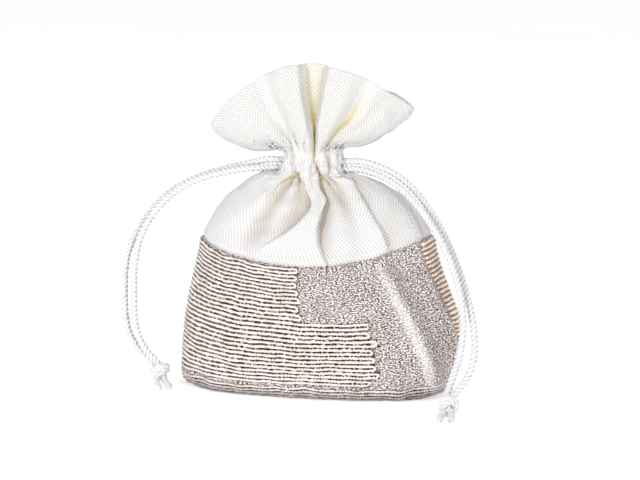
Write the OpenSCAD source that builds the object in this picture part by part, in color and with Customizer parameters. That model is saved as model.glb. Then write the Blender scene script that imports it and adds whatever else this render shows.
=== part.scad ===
// Drawstring gift pouch: a ribbed lower bag, a sheer upper with a gathered casing and frill,
// and two cords that leave the casing at the side vents and are knotted.
// Millimetres. +Z is up, -Y is the front, and the origin is under the middle of the bag.

/* [Bag] */
// Width across the side seams, where the bag is widest
belly_w = 90; // [80:1:96]
// Depth from front to back, where the bag is deepest
belly_d = 50; // [46:1:56]
// Height of the seam between the two cloths, at the middle of the front
yoke_h = 42.5; // [40:0.5:46]
// How far the bottom corners stand off the table
ear_h = 6; // [3:0.5:8]
// Thickness of the ribbed lower cloth
lower_t = 0.9; // [0.6:0.1:1.2]

/* [Upper cloth] */
// Thickness of the sheer cloth
upper_t = 0.4; // [0.3:0.1:0.5]
// Diameter over the gathers, where the cords draw them in
neck_d = 17.6; // [17:0.2:19]
// Height of the middle of the casing
neck_h = 70; // [69:0.5:72]
// Height of the casing, from one row of stitches to the other
casing_h = 7.8; // [7.6:0.2:8.6]
// Height of the frill's top edge, at its middle
total_h = 101; // [96:1:106]
// Width of the frill
frill_w = 64; // [56:1:68]
// Depth of the frill from front to back
frill_d = 22; // [20:1:28]
// How far the frill's ends hang below its middle
frill_droop = 14; // [8:1:16]
// Number of gathers round the neck
gathers = 14; // [14]
// Depth of each gather at the neck, from crest to valley
gather_depth = 2.4; // [1.6:0.2:2.4]

/* [Cords] */
// Thickness of a cord
cord_d = 2.2; // [1.6:0.1:2.2]
// Height from one strand to the other, where they leave a vent
strand_gap = 2.4; // [2.4:0.1:2.6]
// Thickness of a knot
knot_d = 5.4; // [4.6:0.2:6]

/* [Hidden] */

FRONT = -1;
BACK = 1;
LEFT = -1;
RIGHT = 1;

half_w = belly_w / 2;
half_d = belly_d / 2;
neck_r = (neck_d - gather_depth) / 2;      // middle of the gathers
valley_r = neck_r - gather_depth / 2;
cord_r = cord_d / 2;
clearance = 0.3;
collar_r = valley_r - upper_t - 0.4;       // the shoulder's collar, inside the gathers
run_r = valley_r - upper_t - cord_r;       // middle of a cord inside the casing
facing_r = run_r - cord_r - 0.2;
facing_t = 0.3;
skirt_z = neck_h - casing_h / 2 + 0.1;     // lowest edge of the gathered casing
casing_top = neck_h + casing_h / 2;
vent_x = 9.5;                              // where a strand leaves the vent, with room to lift
vent_angle = 12;                           // half of the gap between the front and back halves
run_angle = 36;                            // half of the gap between the ends of two cord runs
facing_angle = 30;
fold_angle = 15;
allowance_w = 6;
seam_angle = 12;
around = 56;                               // steps round one half
stitch_r = 0.2;
stitch_l = 2;

// A row of the skin: height, rise of its ends, share of its width that stays level,
// half width, half depth, roundness (1 is an ellipse, more is pointed ends) and gather depth.
lower_rows = [
    [0,             ear_h,       0.55, half_w * 0.955, 0,             1,    0],
    [0,             ear_h,       0.55, half_w * 0.965, half_d * 0.34, 1.2,  0],
    [0,             ear_h,       0.55, half_w * 0.975, half_d * 0.52, 1.3,  0],
    [yoke_h * 0.03, ear_h * 0.9, 0.55, half_w * 0.99,  half_d * 0.67, 1.35, 0],
    [yoke_h * 0.09, ear_h * 0.8, 0.5,  half_w,         half_d * 0.79, 1.35, 0],
    [yoke_h * 0.2,  ear_h * 0.6, 0.4,  half_w,         half_d * 0.9,  1.3,  0],
    [yoke_h * 0.37, ear_h * 0.5, 0.3,  half_w * 0.985, half_d * 0.98, 1.25, 0],
    [yoke_h * 0.56, ear_h * 0.6, 0.2,  half_w * 0.945, half_d,        1.2,  0],
    [yoke_h * 0.76, ear_h * 0.7, 0.1,  half_w * 0.88,  half_d * 0.99, 1.15, 0],
    [yoke_h * 0.9,  ear_h * 0.8, 0,    half_w * 0.825, half_d * 0.955, 1.1, 0],
    [yoke_h,        ear_h * 0.9, 0,    half_w * 0.785, half_d * 0.92, 1.05, 0]
];
shoulder_h = neck_h - 5.6 - yoke_h;
shoulder_rows = [
    [yoke_h,                     ear_h * 0.9, 0, half_w * 0.785, half_d * 0.92, 1.05, 0],
    [yoke_h + shoulder_h * 0.2,  ear_h * 0.8, 0, half_w * 0.735, half_d * 0.85, 1, 0.1],
    [yoke_h + shoulder_h * 0.44, ear_h * 0.85, 0, half_w * 0.62,  half_d * 0.7,  1, 0.2],
    [yoke_h + shoulder_h * 0.66, ear_h * 0.85, 0, half_w * 0.47,  half_d * 0.54, 1, 0.35],
    [yoke_h + shoulder_h * 0.84, ear_h * 0.65, 0, half_w * 0.31,  half_d * 0.39, 1, 0.4],
    [yoke_h + shoulder_h * 0.95, ear_h * 0.15, 0, neck_r * 1.2, neck_r * 1.2, 1, 0.2],
    [yoke_h + shoulder_h,        0, 0, neck_r,       neck_r,       1, 0],
    [yoke_h + shoulder_h + 0.6,  0, 0, collar_r + 0.6, collar_r + 0.6, 1, 0],
    [yoke_h + shoulder_h + 1.2,  0, 0, collar_r,     collar_r,     1, 0],
    [yoke_h + shoulder_h + 2.1,  0, 0, collar_r,     collar_r,     1, 0]
];
frill_h = total_h - casing_top;
frill_rows = [
    [skirt_z,                     0, 0, neck_r, neck_r, 1, gather_depth / 2],
    [casing_top,                  0, 0, neck_r, neck_r, 1, gather_depth / 2],
    [casing_top + frill_h * 0.08, 0, 0, frill_w * 0.155, frill_d * 0.37, 1, gather_depth * 0.52],
    [casing_top + frill_h * 0.17, -frill_droop * 0.04, 0, frill_w * 0.22, frill_d * 0.405, 1, gather_depth * 0.6],
    [casing_top + frill_h * 0.3,  -frill_droop * 0.15, 0, frill_w * 0.305, frill_d * 0.435, 1, gather_depth * 0.65],
    [casing_top + frill_h * 0.46, -frill_droop * 0.36, 0, frill_w * 0.39, frill_d * 0.457, 1, gather_depth * 0.7],
    [casing_top + frill_h * 0.65, -frill_droop * 0.58, 0, frill_w * 0.45, frill_d * 0.478, 1, gather_depth * 0.72],
    [casing_top + frill_h * 0.83, -frill_droop * 0.8,  0, frill_w * 0.48, frill_d * 0.49, 1, gather_depth * 0.72],
    [total_h,                     -frill_droop,        0, frill_w * 0.5,  frill_d * 0.5,  1, gather_depth * 0.72]
];
facing_bottom = [
    [skirt_z + 1.2,   0, 0, facing_r, facing_r, 1, 0],
    [casing_top - 0.8, 0, 0, facing_r, facing_r, 1, 0],
    [casing_top + frill_h * 0.03, 0, 0, facing_r * 1.15, facing_r * 1.1, 1, 0.1]
];

// The middle line of each strand, from its vent to its knot, and of each tail.
left_upper_route = [
    [-10.8, 0, 71.2], [-14.3, -0.4, 71.2], [-21, -1.6, 69.8], [-27.4, -2.6, 68.3],
    [-33.2, -3.6, 66.6], [-38.7, -4.6, 64.4], [-43.7, -5.4, 61.4], [-48.2, -6.2, 57.4],
    [-52, -7, 52.6], [-55, -7.8, 47.4], [-57, -8.6, 42.4], [-57.9, -9.2, 37.4],
    [-58.1, -9.6, 32.2], [-58.1, -9.8, 27], [-57.8, -10, 21.8], [-56.6, -10.2, 16.8],
    [-54.1, -10.2, 12.4], [-51.3, -10, 9.4], [-49.2, -9.8, 7.8]
];
left_lower_route = [
    [-10.8, 0, 68.8], [-14.3, -1, 68.7], [-20.3, -3.8, 68.6], [-26.6, -5.4, 67.6],
    [-32.2, -6.5, 66.2], [-37.4, -7.5, 64.1], [-42.2, -8.4, 61.1], [-46.5, -9.2, 57.1],
    [-50, -10, 52.3], [-52.4, -10.6, 47.4], [-53.6, -11.2, 42.6], [-54.2, -11.8, 37.7],
    [-54.3, -12.2, 32.8], [-54.3, -12.5, 27.8], [-54.2, -12.6, 22.8], [-53.4, -12.6, 18],
    [-51.7, -12.2, 13.8], [-49.6, -11.6, 10.5], [-48, -11, 8.7]
];
right_upper_route = [
    [10.8, 0, 71.2], [14.3, -0.4, 71.3], [20.5, -0.8, 69.9], [25.9, -1.4, 67.6],
    [30.5, -2.4, 64.4], [34.6, -3.8, 60.4], [38.2, -5.8, 55.9], [41.6, -8, 51.1],
    [44.6, -10.4, 46], [47.3, -13, 40.6], [49.6, -15.4, 35.1], [51.5, -17.8, 29.6],
    [52.8, -20, 24], [53.4, -22.2, 18.6], [52.7, -24.2, 13.6], [50.8, -26.2, 9.5],
    [48.8, -28, 6.8]
];
right_lower_route = [
    [10.8, 0, 68.8], [14.3, -0.2, 68.8], [20.6, -1.4, 67.3], [25.8, -3.4, 65.1], [30.6, -6, 61.9],
    [35, -8.8, 57.9], [38.9, -11.2, 53.2], [42.2, -13.4, 48.4], [44.9, -15.4, 43.5],
    [47.1, -17.4, 38.4], [48.7, -19.2, 33.1], [49.6, -20.8, 27.7], [49.7, -22.2, 22.3],
    [49.1, -23.4, 17.2], [48, -24.7, 12.8], [46.9, -26.2, 9.2], [46.2, -27.6, 6.6]
];
left_knot_at = [[-47.2, -10, 6.6], [-46.1, -11, 4.6]];
right_knot_at = [[46.8, -29.6, 3.8], [46.9, -31.8, 3.1]];
left_tails = [
    [[-45.2, -11.6, 3.2], [-44.3, -12.4, 2.2], [-43.3, -13.6, 1.6], [-42, -15.2, 1.2]],
    [[-47.1, -12.8, 3.2], [-46.7, -14.2, 2.2], [-45.7, -15.8, 1.6], [-44.6, -17.2, 1.2]]
];
right_tails = [
    [[45.8, -34, 2], [45.5, -36.2, 1.5], [45.6, -38.4, 1.2], [46.1, -40.2, 1.2]],
    [[48.2, -33.8, 2], [48.8, -36, 1.5], [48.9, -38, 1.2], [48.6, -39.8, 1.2]]
];

function at(row, angle) =
    let (
        c = cos(angle), s = sin(angle),
        end = max(0, (abs(c) - row[2]) / (1 - row[2])),
        fold = row[6] * cos(gathers * angle)
    )
    [row[3] * c + fold * c, row[4] * sign(s) * pow(abs(s), row[5]) + fold * s, row[0] + row[1] * end * end];

// The skin's points, a list of points from one angle to another for each row.
function skin(rows, from, to, steps) =
    [for (row = rows) [for (k = [0:steps]) at(row, from + (to - from) * k / steps)]];

// The same points, moved inwards, and kept on one side of the middle if side isn't 0.
function inwards(grid, depth, side = 0) =
    let (last_row = len(grid) - 1, last = len(grid[0]) - 1)
    [for (i = [0:last_row]) [for (j = [0:last])
        let (
            across = grid[i][min(j + 1, last)] - grid[i][max(j - 1, 0)],
            up = grid[min(i + 1, last_row)][j] - grid[max(i - 1, 0)][j],
            out = cross(across, up),
            p = grid[i][j] - depth * out / norm(out)
        )
        side == 0 ? p : [p.x, side * max(side * p.y, 0), p.z]
    ]];

function flat(lists) = [for (list = lists) each list];

// Two triangles for four corners of a mesh.
function quad(a, b, c, d) = [[a, b, c], [a, c, d]];

// A closed sheet of cloth between an outer and an inner grid of points.
module sheet(outer, inner) {
    rows = len(outer);
    columns = len(outer[0]);
    below = rows * columns;
    function id(i, j) = i * columns + j;
    faces = flat([
        for (i = [0:rows - 2], j = [0:columns - 2]) each [
            quad(id(i, j), id(i + 1, j), id(i + 1, j + 1), id(i, j + 1)),
            quad(below + id(i, j), below + id(i, j + 1), below + id(i + 1, j + 1), below + id(i + 1, j))
        ],
        for (j = [0:columns - 2]) each [
            quad(id(0, j), id(0, j + 1), below + id(0, j + 1), below + id(0, j)),
            quad(id(rows - 1, j + 1), id(rows - 1, j), below + id(rows - 1, j), below + id(rows - 1, j + 1))
        ],
        for (i = [0:rows - 2]) each [
            quad(id(i + 1, 0), id(i, 0), below + id(i, 0), below + id(i + 1, 0)),
            quad(id(i, columns - 1), id(i + 1, columns - 1),
                 below + id(i + 1, columns - 1), below + id(i, columns - 1))
        ]
    ]);
    polyhedron(points = concat(flat(outer), flat(inner)), faces = faces, convexity = 6);
}

// A layer of cloth inside the skin, from one depth to another.
module layer(rows, from, to, steps, outer_depth, inner_depth, side = 0) {
    grid = skin(rows, from, to, steps);
    sheet(inwards(grid, outer_depth, side), inwards(grid, inner_depth, side));
}

// Half of the skin, front or back, with a gap at each side.
module half_layer(rows, side, gap, steps, outer_depth, inner_depth) {
    from = side == FRONT ? 180 : 0;
    layer(rows, from + gap, from + 180 - gap, steps, outer_depth, inner_depth, side);
}

// A round cord along a route.
module tube(route, d, sides = 8, aside = [0, 1, 0]) {
    last = len(route) - 1;
    rings = [for (i = [0:last])
        let (
            way = route[min(i + 1, last)] - route[max(i - 1, 0)],
            x = cross(way, aside) / norm(cross(way, aside)),
            y = cross(way, x) / norm(cross(way, x))
        )
        [for (k = [0:sides - 1]) route[i] + d / 2 * (cos(360 * k / sides) * x + sin(360 * k / sides) * y)]
    ];
    faces = flat([
        [[for (k = [0:sides - 1]) sides - 1 - k]],
        [[for (k = [0:sides - 1]) last * sides + k]],
        for (i = [0:last - 1], k = [0:sides - 1])
            quad(i * sides + k, i * sides + (k + 1) % sides,
                 (i + 1) * sides + (k + 1) % sides, (i + 1) * sides + k)
    ]);
    polyhedron(points = flat(rings), faces = faces, convexity = 6);
}

// The lower cloth, front or back, with its bottom edge on the middle line of the base.
module lower_panel(side)
    color("tan") half_layer(lower_rows, side, 0, 32, 0, lower_t);

// The strip of cloth inside a seam of the lower bag.
module bottom_seam_allowance()
    color("burlywood")
        translate([-half_w * 0.5, -allowance_w / 2, lower_t])
            cube([half_w, allowance_w, lower_t]);

module seam_allowance(side) {
    rows = [for (i = [5:9]) lower_rows[i]];
    from = side == RIGHT ? 2 : 178 - seam_angle;
    color("burlywood")
        layer(rows, from, from + seam_angle, 8, lower_t, 2 * lower_t, BACK);
}

module yoke_allowance(side) {
    rows = [for (i = [9:10]) lower_rows[i]];
    color("ivory") half_layer(rows, side, 24, 32, lower_t, lower_t + 2 * upper_t);
}

// The upper cloth, from the seam with the lower cloth to the drawn neck.
module shoulder(side)
    color("white") half_layer(shoulder_rows, side, 0, around, 0, upper_t);

// The tuck at a side of the frill, above the vent, which the front and back halves lie over.
module side_fold(side) {
    middle = side == RIGHT ? 0 : 180;
    depth = upper_t + clearance;
    above_vent = neck_h + strand_gap / 2 + cord_r + clearance;
    rows = concat([[above_vent, 0, 0, neck_r, neck_r, 1, gather_depth / 2]], [for (i = [1:8]) frill_rows[i]]);
    color("ivory")
        layer(rows, middle - fold_angle, middle + fold_angle, 8, depth, depth + upper_t);
}

// The gathered casing's outer cloth and the frill above it.
module frill(side)
    color("white") half_layer(frill_rows, side, vent_angle, around, 0, upper_t);

// The cloth turned in at the frill's top, which lines the frill and the casing.
module facing(side) {
    from = side == FRONT ? 180 : 0;
    frill_grid = skin([for (i = [3:8]) frill_rows[i]], from + facing_angle, from + 180 - facing_angle, around);
    grid = concat(
        skin(facing_bottom, from + facing_angle, from + 180 - facing_angle, around),
        inwards(frill_grid, upper_t + 0.2, side)
    );
    color("ivory") sheet(grid, inwards(grid, facing_t, side));
}

// Stitches on the crests of the gathers, along both edges of the casing.
module casing_stitches(side)
    color("whitesmoke")
        for (z = [skirt_z + 0.8, casing_top - 0.8], k = [1:gathers / 2 - 1])
            rotate([0, 0, side * k * 360 / gathers])
                translate([neck_d / 2 + stitch_r, 0, z])
                    rotate([90, 0, 0])
                        cylinder(r = stitch_r, h = stitch_l, center = true, $fn = 16);

// A cord inside the casing, through the front half or the back half.
module casing_run(side, z)
    color("white")
        translate([0, 0, z])
            rotate([0, 0, side == FRONT ? 180 + run_angle : run_angle])
                rotate_extrude(angle = 180 - 2 * run_angle, $fn = 48)
                    translate([run_r, 0])
                        circle(r = cord_r, $fn = 24);

// The ends of the two strands where they pass through a side vent.
module vent_run(side)
    color("white")
        for (way = [-1, 1])
            translate([side * (vent_x - 3.8), 0, neck_h + way * strand_gap / 2])
                rotate([0, 90 * side, 0])
                    cylinder(r = cord_r, h = 3.8, $fn = 24);

module strand(route)
    color("white") tube(route, cord_d);

// An overhand knot that ties two strands.
module knot(ends)
    color("white")
        hull()
            for (end = ends)
                translate(end)
                    sphere(d = knot_d, $fn = 24);

// The cut ends of a cord, past its knot.
module tails(routes)
    color("white")
        for (route = routes)
            tube(route, cord_d, aside = [0, 0, 1]);

upper_z = neck_h + strand_gap / 2;
lower_z = neck_h - strand_gap / 2;

lower_panel(FRONT);  // lower_front_panel
lower_panel(BACK);  // lower_back_panel
bottom_seam_allowance();
seam_allowance(LEFT);  // left_seam_allowance
seam_allowance(RIGHT);  // right_seam_allowance
yoke_allowance(FRONT);  // front_yoke_allowance
yoke_allowance(BACK);  // back_yoke_allowance
shoulder(FRONT);  // front_shoulder
shoulder(BACK);  // back_shoulder
side_fold(LEFT);  // left_side_fold
side_fold(RIGHT);  // right_side_fold
frill(FRONT);  // front_frill
facing(FRONT);  // front_facing
casing_stitches(FRONT);  // front_casing_stitches
casing_run(FRONT, upper_z);  // left_cord_front_run
casing_run(FRONT, lower_z);  // right_cord_front_run
frill(BACK);  // back_frill
facing(BACK);  // back_facing
casing_stitches(BACK);  // back_casing_stitches
casing_run(BACK, lower_z);  // left_cord_back_run
casing_run(BACK, upper_z);  // right_cord_back_run
vent_run(LEFT);  // left_cord_vent_run
strand(left_upper_route);  // left_cord_upper_strand
strand(left_lower_route);  // left_cord_lower_strand
knot(left_knot_at);  // left_knot
tails(left_tails);  // left_cord_tails
vent_run(RIGHT);  // right_cord_vent_run
strand(right_upper_route);  // right_cord_upper_strand
strand(right_lower_route);  // right_cord_lower_strand
knot(right_knot_at);  // right_knot
tails(right_tails);  // right_cord_tails
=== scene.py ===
"""The drawstring gift pouch: its cloths, seams, cords and knots, on a pale floor.

Lengths inside the builders are in millimetres; every piece is turned to metres as it is made.
The flat cloth has two coordinates: s across a panel (-50 to 50) and t up it (0 is the bottom seam).
"""

import math

import bpy
import numpy as np
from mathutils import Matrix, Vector


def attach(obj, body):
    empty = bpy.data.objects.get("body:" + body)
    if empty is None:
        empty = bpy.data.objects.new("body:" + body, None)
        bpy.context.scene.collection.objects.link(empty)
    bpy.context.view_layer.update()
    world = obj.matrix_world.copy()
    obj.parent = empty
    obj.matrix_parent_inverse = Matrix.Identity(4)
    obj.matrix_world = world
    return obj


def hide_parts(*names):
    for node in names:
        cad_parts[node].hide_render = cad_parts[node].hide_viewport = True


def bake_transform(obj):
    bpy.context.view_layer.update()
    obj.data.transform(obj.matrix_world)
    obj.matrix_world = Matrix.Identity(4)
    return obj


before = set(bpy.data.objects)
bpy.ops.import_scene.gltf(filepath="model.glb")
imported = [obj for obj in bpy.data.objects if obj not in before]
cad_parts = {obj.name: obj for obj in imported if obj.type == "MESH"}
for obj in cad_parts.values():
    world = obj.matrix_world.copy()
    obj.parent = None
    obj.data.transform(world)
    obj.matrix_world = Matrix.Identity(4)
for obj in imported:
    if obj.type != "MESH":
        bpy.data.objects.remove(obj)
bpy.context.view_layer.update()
MM = 0.001
FRONT, BACK = -1, 1
LEFT, RIGHT = -1, 1

# ---------------------------------------------------------------- the skin's shape

YOKE_T = 63.0
CASING_T = (92.4, 100.2)
NECK_T = 96.3  # the middle of the casing, where the gathers are deepest
TOP_T = 128.0
HALF_FLAT = 50.0  # half a panel's flat width
FINE_ANGLES = 1400  # angles at which a row is measured before its columns are spaced out
FRONT_LOWER_COLUMNS, BACK_LOWER_COLUMNS, UPPER_COLUMNS = 300, 230, 400
STITCH_COLUMNS, ALLOWANCE_COLUMNS = 600, 120
WEAVE_PITCH = 1.3  # one repeat of the sheer cloth's open weave
BEADS_S, BEADS_T = 7.0, 3.1  # radians per mm across and up: the twist of the ribs' yarn

# One row of the skin each: t, height at the middle, rise at the left and right ends, half width
# to the left and right, half depth, roundness (more is pointed), share of the width that stays level.
ROWS = np.array([
    [0.0, 0.0, 1.2, 1.6, 40.0, 37.6, 0.0, 1.0, 0.7],
    [8.0, 0.0, 1.2, 1.6, 40.6, 38.0, 8.6, 0.9, 0.7],
    [14.0, 0.0, 1.2, 1.6, 41.6, 38.8, 14.6, 0.72, 0.7],
    [16.0, 0.4, 1.3, 1.7, 42.4, 39.6, 16.4, 0.72, 0.65],
    [18.0, 1.6, 1.4, 1.8, 43.2, 40.6, 17.8, 0.72, 0.6],
    [22.5, 5.6, 1.4, 2.0, 43.9, 42.6, 19.8, 0.8, 0.5],
    [28.5, 11.0, 2.2, 2.4, 43.6, 44.2, 22.0, 0.92, 0.4],
    [36.0, 18.0, 2.8, 3.0, 42.3, 43.6, 24.0, 1.0, 0.3],
    [44.5, 26.0, 3.5, 4.2, 40.4, 41.6, 24.8, 1.05, 0.2],
    [53.0, 33.8, 4.4, 5.4, 38.4, 39.0, 24.4, 1.05, 0.1],
    [58.5, 38.3, 5.0, 6.4, 36.9, 37.1, 23.7, 1.0, 0.0],
    [63.0, 42.0, 5.6, 7.4, 35.8, 35.6, 23.0, 1.0, 0.0],
    [68.0, 46.8, 6.3, 8.0, 33.3, 33.1, 21.1, 1.0, 0.0],
    [74.3, 52.2, 6.5, 7.2, 29.0, 28.6, 18.4, 1.0, 0.0],
    [80.4, 57.4, 6.4, 6.2, 22.9, 22.3, 14.8, 1.0, 0.0],
    [86.3, 61.9, 5.8, 5.0, 15.9, 15.3, 11.0, 1.0, 0.0],
    [90.0, 64.8, 3.2, 2.8, 11.2, 10.9, 9.3, 1.0, 0.0],
    [92.8, 67.0, 0.8, 0.6, 9.1, 8.9, 8.1, 1.0, 0.0],
    [96.0, 70.0, 0.0, 0.0, 8.4, 8.4, 7.4, 1.0, 0.0],
    [100.0, 74.0, -0.2, -0.1, 8.5, 8.6, 7.5, 1.0, 0.0],
    [103.0, 76.8, -2.4, -1.3, 10.8, 10.7, 8.2, 1.0, 0.0],
    [106.0, 79.9, -6.0, -4.3, 14.3, 13.7, 8.7, 1.0, 0.0],
    [110.0, 83.9, -10.2, -7.1, 18.6, 17.7, 9.1, 1.0, 0.0],
    [115.0, 88.8, -13.6, -9.2, 23.5, 22.4, 9.4, 1.0, 0.0],
    [120.0, 93.6, -16.6, -11.0, 28.0, 26.8, 9.5, 1.0, 0.0],
    [125.0, 98.3, -19.0, -12.7, 31.2, 30.1, 9.3, 1.0, 0.0],
    [128.0, 101.0, -20.2, -13.6, 32.3, 31.2, 9.0, 1.0, 0.0],
])

# The broad folds of the front: at each t, the x of each ridge and valley and how far it stands out.
FRONT_FOLDS = {
    63.0: [(-26, 0.3), (-19, -0.5), (-12, 0.3), (-6, 0.2), (-2, 0.2),
           (2, 0.1), (6, 0.0), (12, 0.3), (22, -0.3), (30, 0.3)],
    74.3: [(-20, 0.9), (-14.5, -1.2), (-9, 0.8), (-4, 0.4), (-1, 0.5),
           (3, 0.2), (6, -0.2), (12, 0.8), (17, -0.6), (23, 0.6)],
    86.3: [(-10.5, 0.9), (-8.2, -1), (-5.6, 0.9), (-3, 0.2), (-0.5, 0.5),
           (2, 0.4), (4.5, 0), (7.2, 0.9), (9.5, -1), (11.8, 0.6)],
    92.8: [(-7.2, 0.6), (-5.8, -0.6), (-4.6, 0.5), (-2.6, 0.4), (-1, 0.5),
           (1, 0.3), (3.4, -0.2), (4.8, 0.5), (6.4, -0.5), (7.6, 0.4)],
    100.0: [(-7.2, 0.6), (-5.8, -0.7), (-4.2, 0.5), (-2, 0.3), (1.4, -1.0),
            (2.4, -1.0), (3.2, 0.3), (4.4, 0.5), (6, -0.7), (7.4, 0.6)],
    103.0: [(-8.4, 0.8), (-6, -0.6), (-3.6, 0.6), (-0.2, 1.0), (1.4, -1.9),
            (2.4, -1.9), (3.6, 0.8), (4.2, 0.6), (5.6, -1.9), (8.2, 0.8)],
    109.0: [(-12.5, 1.4), (-7, -0.8), (-3.6, 1.2), (-0.9, 1.7), (0.8, -2.8),
            (2.8, -2.8), (4.4, 1.6), (6.0, 1.2), (8.8, -2.7), (13, 1.4)],
    117.0: [(-18.5, 1.6), (-10.6, -0.8), (-5.6, 1.4), (-2.4, 1.9), (-0.2, -3.3),
            (3.8, -3.3), (6.0, 1.8), (9.4, 1.5), (14.6, -2.6), (19.6, 1.4)],
    128.0: [(-23, 1.4), (-14.6, -0.8), (-8, 1.3), (-4.2, 1.8), (-1.4, -3.4),
            (5.2, -3.4), (8.2, 1.8), (12.5, 1.3), (20.5, -1.4), (26, 1.1)],
}
# Sharp creases of the front: t and x along each, how far the cloth drops beside it, the side that
# drops (-1 left, 1 right, 0 both), and how far the drop reaches.
CREASES = [
    ([66, 69, 74, 79.5, 83, 88, 94, 97], [-14, -9.8, -3.6, 1.0, 2.3, 0.4, -1.8, -2.2],
     [0, 1.0, 2.4, 3.2, 3.0, 2.2, 1.6, 0.3], -1, 7.5),
    ([61, 63, 68.5, 74.2, 79.5, 83.8, 89, 94.8, 98], [8, 7.4, 4.6, 3.7, 4.3, 5.5, 3.1, 2.3, 2.2],
     [0, 0.8, 2.1, 3.1, 3.3, 2.9, 2.1, 1.6, 0.5], 1, 6.5),
    ([62, 64.8, 70.8, 79, 87, 90], [25.4, 24.3, 21.6, 17.2, 12.4, 10.4],
     [0, 1.2, 2.1, 2.0, 1.2, 0.3], 1, 5.0),
    ([84, 87.5, 93, 97, 99], [9.9, 8.4, 5.0, 2.9, 2.4], [0, 1.3, 1.6, 1.0, 0.3], -1, 2.0),
    ([79, 84, 90, 94], [-15, -12.2, -9.0, -7.2], [0, 1.6, 1.5, 0.6], 1, 3.2),
    ([88, 91.2, 101.5, 105], [-4.6, -3.7, -5.2, -6.0], [0, 1.6, 1.7, 0], 0, 0.55),
    ([94, 95.8, 97.2, 101.5, 104.5], [8.0, 7.2, 5.9, 4.7, 5.2], [0, 1.4, 1.8, 1.7, 0.4], 0, 0.55),
    ([93, 95, 101, 105], [1.8, 2.2, 2.3, 1.8], [0, 1.5, 1.7, 0.6], 0, 0.5),
    ([100.5, 103, 106, 110], [-6.4, -8.4, -11.4, -15.4], [0.1, 0.6, 0.8, 0], 0, 1.8),
]
# The same for the back.
BACK_FOLDS = {
    63.0: [(-24, 0.4), (-17.5, -0.6), (-11, 0.5), (-5, -0.7), (1, 0.6),
           (7.5, -0.8), (14, 0.6), (21, -0.7), (28, 0.4)],
    74.3: [(-20, 1.3), (-14.6, -2.0), (-9, 1.8), (-4, -2.4), (1, 2.0),
           (6.2, -2.6), (11.4, 2.0), (16.6, -2.0), (21.6, 0.9)],
    86.3: [(-11, 1.0), (-8, -1.5), (-5, 1.4), (-2, -1.8), (1, 1.5),
           (4, -1.8), (7, 1.5), (9.6, -1.5), (12, 0.7)],
    100.0: [(-7.2, 0.8), (-5.4, -1.0), (-3.6, 0.9), (-1.7, -1.2), (0.2, 1.0),
            (2, -1.3), (3.9, 1.0), (5.7, -1.1), (7.3, 0.7)],
    108.0: [(-13.6, 1.8), (-10.2, -2.6), (-6.8, 2.0), (-3.4, -2.9), (0, 2.0),
            (3.2, -2.9), (6.4, 1.9), (9.4, -2.5), (12.4, 1.5)],
    128.0: [(-26, 2.4), (-19.5, -4.4), (-13, 3.0), (-6.6, -5.0), (-0.5, 3.0),
            (5.6, -5.0), (11.6, 2.8), (17.4, -4.4), (23.4, 2.2)],
}


def spline(xs, ys, x):
    """Smooth values at x through the points (xs, ys)."""
    xs, ys, x = np.asarray(xs, float), np.asarray(ys, float), np.asarray(x, float)
    more = (slice(None),) + (None,) * (ys.ndim - 1)
    slope = np.diff(ys, axis=0) / np.diff(xs)[more]
    tangent = np.concatenate([slope[:1], (slope[1:] + slope[:-1]) / 2, slope[-1:]])
    i = np.clip(np.searchsorted(xs, x, side="right") - 1, 0, len(xs) - 2)
    h = (xs[i + 1] - xs[i])[(...,) + (None,) * (ys.ndim - 1)]
    f = ((x - xs[i]) / (xs[i + 1] - xs[i]))[(...,) + (None,) * (ys.ndim - 1)]
    return (
        ys[i] * (2 * f**3 - 3 * f**2 + 1) + ys[i + 1] * (3 * f**2 - 2 * f**3)
        + h * tangent[i] * (f**3 - 2 * f**2 + f) + h * tangent[i + 1] * (f**3 - f**2)
    )


def smoothstep(low, high, x):
    f = np.clip((x - low) / (high - low), 0, 1)
    return f * f * (3 - 2 * f)


def run_length(line):
    """How far along a line each of its points lies."""
    return np.concatenate([[0], np.cumsum(np.linalg.norm(np.diff(line, axis=0), axis=1))])


def waves(x, y, seed, scale):
    """A smooth, seeded ripple of about unit size, with waves near `scale` long."""
    rng = np.random.default_rng(seed)
    total = np.zeros(np.broadcast(x, y).shape)
    terms = 10
    for _ in range(terms):
        angle, phase = rng.uniform(0, 2 * math.pi, 2)
        length = scale * rng.uniform(0.6, 1.6)
        total += np.sin(2 * math.pi * (x * math.cos(angle) + y * math.sin(angle)) / length + phase)
    return total / math.sqrt(terms)


def fold_offset(row, side, turn):
    """How far the main folds stand out at each angle of one row, in mm."""
    table = FRONT_FOLDS if side == FRONT else BACK_FOLDS
    levels = sorted(table)
    t = min(max(row[0], levels[0]), levels[-1])
    keys = spline(levels, np.array([table[k] for k in levels], float), np.array([t]))[0]
    width = np.where(keys[:, 0] < 0, row[4], row[5])
    at = np.degrees(np.arccos(np.clip(keys[:, 0] / width, -0.985, 0.985)))[::-1]
    out = keys[::-1, 1]
    at = np.concatenate([[0], at, [180]])
    out = np.concatenate([[0], out, [0]])
    angle = turn if side == BACK else 360 - turn
    i = np.clip(np.searchsorted(at, angle, side="right") - 1, 0, len(at) - 2)
    f = np.clip((angle - at[i]) / (at[i + 1] - at[i]), 0, 1)
    f = f * f * (3 - 2 * f)
    value = out[i] * (1 - f) + out[i + 1] * f
    return value * smoothstep(YOKE_T - 7, YOKE_T + 1, row[0])


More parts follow.
